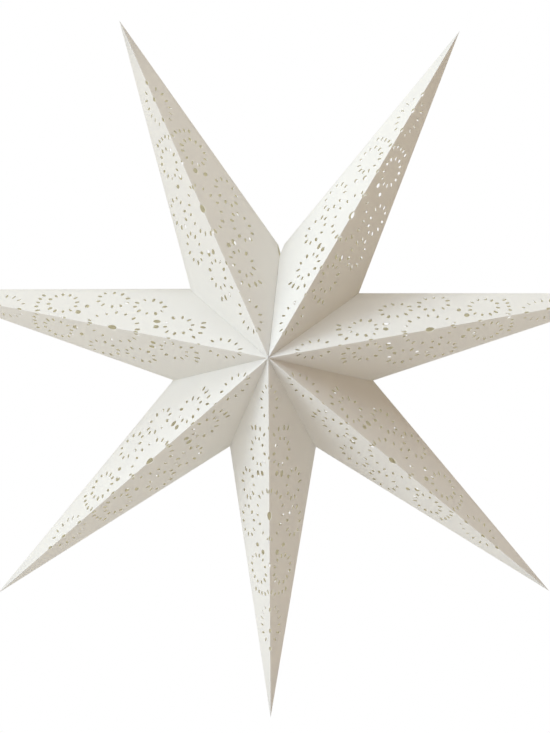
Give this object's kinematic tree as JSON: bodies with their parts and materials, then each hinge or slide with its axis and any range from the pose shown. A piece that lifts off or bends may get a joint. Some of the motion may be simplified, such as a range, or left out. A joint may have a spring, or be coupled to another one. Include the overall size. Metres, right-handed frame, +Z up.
{
  "type": "folded paper star lantern",
  "caption": "Hanging star lantern of folded, perforated white paper, with hollow points joined round one axis and a gap for a lamp cord.",
  "frame": {"origin": "where the star hangs: between the parted lips of the paper at the seam's valley, 85.5 mm out from the star's axis", "axes": "+Z up as the star hangs, +Y along the star's axis from the front to the back, +X to the viewer's right"},
  "size_m": [0.5906, 0.1794, 0.5757],
  "materials": {
    "paper": "matte",
    "tape": "matte"
  },
  "bodies": {
    "root": {"point_upper_left": "paper", "point_left": "paper", "point_lower_left": "paper", "point_bottom": "paper", "point_lower_right": "paper", "point_right": "paper", "point_upper_right": "paper", "seam_tape_front": "tape", "seam_tape_back": "tape"}
  },
  "joints": []
}
